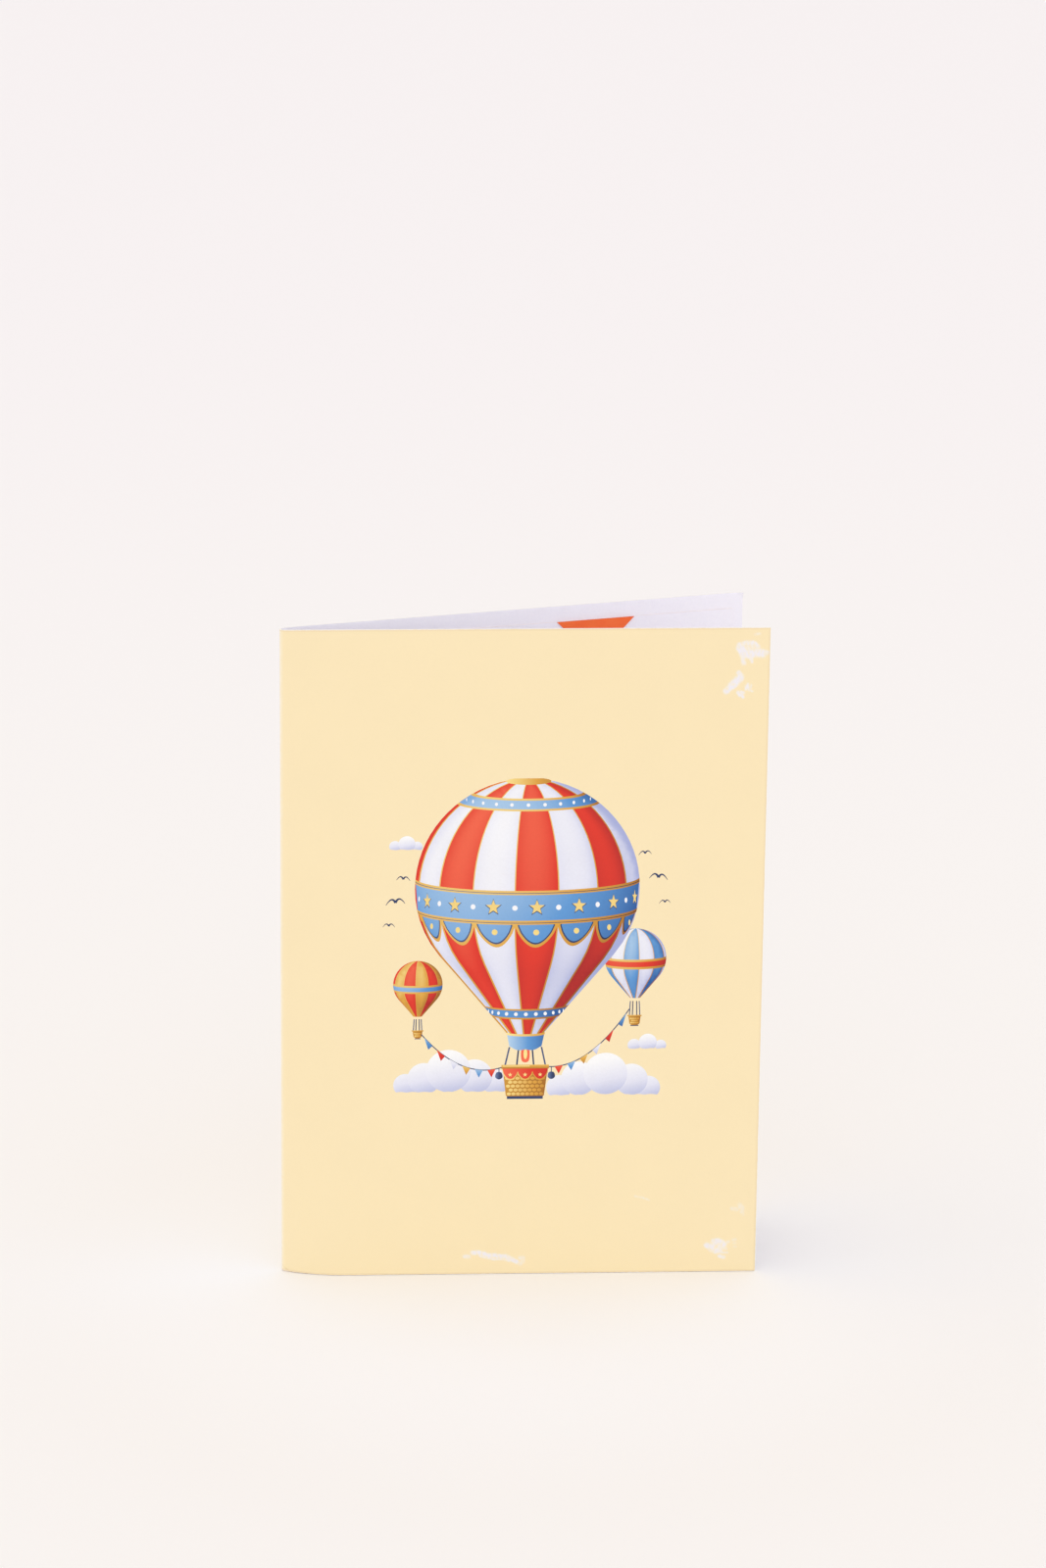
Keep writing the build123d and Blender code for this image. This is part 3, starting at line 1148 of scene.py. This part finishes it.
def dense_points():
    """The points that carry the tones of the picture and the scuffs."""
    points = []
    for (t_span, z_span), pitch in DENSE_SPANS:
        columns = span(*t_span, int((t_span[1] - t_span[0]) / pitch) + 1)
        rows = span(*z_span, int((z_span[1] - z_span[0]) / pitch) + 1)
        points += filled(columns, rows)
    return points


def make_cover(inks):
    """The printed cover. Its front carries the picture and the scuffs."""
    corners = rectangle((-PANEL_WIDTH, 0.0), (PANEL_WIDTH, PANEL_HEIGHT))
    outline, inside = cover_grid(corners)
    names = list(inks)
    materials = [*inks.values(), core_material(), white_material("inside_print", COOL_WHITE)]
    leaf = Leaf("card_cover", cover_point, (0.0, COVER_THICKNESS), materials)

    shapes = balloon_picture() + scuff_marks()
    places, triangles, tops, rim = triangulate(outline, inside + dense_points(), shapes)
    slots = [names.index(shapes[top].ink) if top >= 0 else names.index("cream") for top in tops]
    tones = [shapes[top].tone if top >= 0 else plain_tone for top in tops]
    first = leaf.add_face(places, triangles, slots, tones, True)
    outer_rim = [first + i for i in rim]

    places, triangles, tops, rim = triangulate(outline, inside, [])
    inside_slot = len(materials) - 1
    tones = [plain_tone] * len(triangles)
    first = leaf.add_face(places, triangles, [inside_slot] * len(triangles), tones, False)
    leaf.add_edges(outline, outer_rim, [first + i for i in rim], len(names))
    return leaf.build()


def make_plain_leaf(name, corners, stops_t, stops_z, levels, materials):
    """A leaf with one material on its faces and one on its cut edges."""
    outline = boundary(corners, stops_t, stops_z)
    inside = filled(stops_t[1:-1], stops_z[1:-1])
    leaf = Leaf(name, leaf_point, levels, materials)
    rims = []
    for outer in (True, False):
        places, triangles, _, rim = triangulate(outline, inside, [])
        tones = [plain_tone] * len(triangles)
        first = leaf.add_face(places, triangles, [0] * len(triangles), tones, outer)
        rims.append([first + i for i in rim])
    leaf.add_edges(outline, rims[0], rims[1], 1)
    return leaf.build()


def make_inner_sheet():
    """The white sheet glued inside the cover, folded with it."""
    side, end = PANEL_WIDTH - LINER_SIDE_MARGIN, LINER_END_MARGIN
    corners = rectangle((-side, end), (side, PANEL_HEIGHT - end))
    columns = grid_stops(-side, side, COARSE_PITCH, FOLD_LINES)
    rows = grid_stops(end, PANEL_HEIGHT - end, LINER_PITCH, [])
    materials = [white_material("liner_paper", COOL_WHITE), white_material("liner_edge", LINER_EDGE)]
    levels = (LINER_DEPTH, LINER_DEPTH + LINER_THICKNESS)
    return make_plain_leaf("inner_white_sheet", corners, columns, rows, levels, materials)


def make_red_tab():
    """The red piece glued to the inner sheet's back panel."""
    top = PANEL_HEIGHT - LINER_END_MARGIN
    bottom = top - TAB_DEPTH
    slope = TAB_DEPTH * math.tan(math.radians(TAB_MITRE))
    near, far = -TAB_START, -(TAB_START + TAB_WIDTH)
    corners = [(far, top), (far + slope, bottom), (near - slope, bottom), (near, top)]
    # the tab's cut edges carry a painted shadow
    materials = [red_paper_material(), white_material("tab_edge_shadow", TAB_EDGE_SHADOW)]
    levels = (TAB_LEVEL, TAB_LEVEL + TAB_THICKNESS)
    return make_plain_leaf("red_paper_tab", corners, [], [], levels, materials)


# ---------------------------------------------------------------- stage, lights and camera

FLOOR_REACH = 6.0            # from the middle to each side, in metres
FLOOR_PAINTED_LIGHT = (252, 250, 251)
FLOOR_NEAR = (248, 243, 240)
FLOOR_FAR = (247, 241, 241)
PAINTED_LIGHT_MIDDLE = (0.0, -0.035, 0.0)       # where the floor's painted pool of light is brightest, in metres
PAINTED_LIGHT_SPAN = (0.03, 0.14)   # metres from there over which it fades
FAR_SPAN = (0.15, 1.2)       # and over which the floor turns to its far colour
SOFTBOX_PLACE = (-0.3, -2.4, 1.4)
SOFTBOX_SIZE = 1.6
SOFTBOX_POWER = 2.5          # watts


def make_floor():
    """A wide pale floor with a painted pool of light just in front of the card, that also serves as
    backdrop.
    """
    mesh = bpy.data.meshes.new("floor")
    corners = rectangle((-FLOOR_REACH, -FLOOR_REACH), (FLOOR_REACH, FLOOR_REACH))
    mesh.from_pydata([(x, y, 0.0) for x, y in corners], [], [(0, 1, 2, 3)])
    floor = bpy.data.objects.new("floor", mesh)
    bpy.context.scene.collection.objects.link(floor)
    nodes = Nodes("floor_paper")
    away = nodes.add("ShaderNodeVectorMath", operation="DISTANCE")
    nodes.join(nodes.place, away.inputs[0])
    away.inputs[1].default_value = PAINTED_LIGHT_MIDDLE
    painted_light_mask = nodes.ranged(away.outputs["Value"], *PAINTED_LIGHT_SPAN, 1.0, 0.0, "SMOOTHSTEP")
    far = nodes.ranged(away.outputs["Value"], *FAR_SPAN, 0.0, 1.0, "SMOOTHSTEP")
    colour = nodes.blend(far, linear(FLOOR_NEAR), linear(FLOOR_FAR))
    # painted pool of light on the floor in front of the card
    colour = nodes.blend(painted_light_mask, colour, linear(FLOOR_PAINTED_LIGHT))
    nodes.join(colour, nodes.shader.inputs["Base Color"])
    nodes.shader.inputs["Roughness"].default_value = 0.9
    nodes.shader.inputs["Specular IOR Level"].default_value = 0.1
    mesh.materials.append(nodes.material)


def make_lights():
    """Even light from all round, with a large soft lamp high in front."""
    world = bpy.data.worlds.new("studio")
    bpy.context.scene.world = world
    world.use_nodes = True
    tree = world.node_tree
    fill = tree.nodes["Background"]
    fill.inputs["Color"].default_value = (1.0, 1.0, 1.0, 1.0)
    fill.inputs["Strength"].default_value = 1.0
    seen = tree.nodes.new("ShaderNodeBackground")
    seen.inputs["Color"].default_value = linear(FLOOR_FAR)
    path = tree.nodes.new("ShaderNodeLightPath")
    mix = tree.nodes.new("ShaderNodeMixShader")
    tree.links.new(path.outputs["Is Camera Ray"], mix.inputs["Fac"])
    tree.links.new(fill.outputs[0], mix.inputs[1])
    tree.links.new(seen.outputs[0], mix.inputs[2])
    tree.links.new(mix.outputs[0], tree.nodes["World Output"].inputs["Surface"])
    make_softbox()


def make_softbox():
    """A square lamp that faces the middle of the card."""
    lamp = bpy.data.lights.new("key_softbox", "AREA")
    lamp.size = SOFTBOX_SIZE
    lamp.energy = SOFTBOX_POWER
    lamp_object = bpy.data.objects.new("key_softbox", lamp)
    lamp_object.location = SOFTBOX_PLACE
    middle = (CAD_BOUNDS[0] + CAD_BOUNDS[1]) / 2
    lamp_object.rotation_euler = (middle - Vector(SOFTBOX_PLACE)).to_track_quat("-Z", "Y").to_euler()
    bpy.context.scene.collection.objects.link(lamp_object)


CAMERA_PLACE = (-78.42, -1452.08, 598.73)
CAMERA_YAW = 3.111           # degrees to the right of straight ahead
CAMERA_PITCH = 17.832        # degrees down
CAMERA_ROLL = 0.563
CAMERA_LENS = 133.73


def make_camera():
    """A long lens that looks down on the front of the card."""
    camera = bpy.data.cameras.new("camera")
    camera.sensor_width = 36.0
    camera.sensor_fit = "AUTO"
    camera.lens = CAMERA_LENS
    camera.clip_end = 50.0
    yaw, pitch, roll = (math.radians(a) for a in (CAMERA_YAW, CAMERA_PITCH, CAMERA_ROLL))
    ahead = Vector((math.sin(yaw) * math.cos(pitch), math.cos(yaw) * math.cos(pitch), -math.sin(pitch)))
    level_right = Vector((math.cos(yaw), -math.sin(yaw), 0.0))
    level_up = level_right.cross(ahead)
    right = math.cos(roll) * level_right + math.sin(roll) * level_up
    up = math.cos(roll) * level_up - math.sin(roll) * level_right
    turn = Matrix((right, up, -ahead)).transposed()
    camera_object = bpy.data.objects.new("camera", camera)
    camera_object.matrix_world = Matrix.Translation(Vector(CAMERA_PLACE) * MM) @ turn.to_4x4()
    bpy.context.scene.collection.objects.link(camera_object)
    bpy.context.scene.camera = camera_object


# ---------------------------------------------------------------- the scene

make_camera()
make_floor()
make_lights()

inks = {"cream": cream_material()}
for ink_name, ink_stops in INKS.items():
    inks[ink_name] = ink_material(ink_name, ink_stops)

cover = make_cover(inks)
inner_sheet = make_inner_sheet()
red_tab = make_red_tab()
PIECES = (
    (cover, "cover", "cover_stock"),
    (inner_sheet, "inner_sheet", "white_paper"),
    (red_tab, "red_tab", "red_paper"),
)
for piece, node, slot in PIECES:
    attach(piece, "root")
    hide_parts(node)

bpy.context.scene.view_settings.view_transform = "Standard"
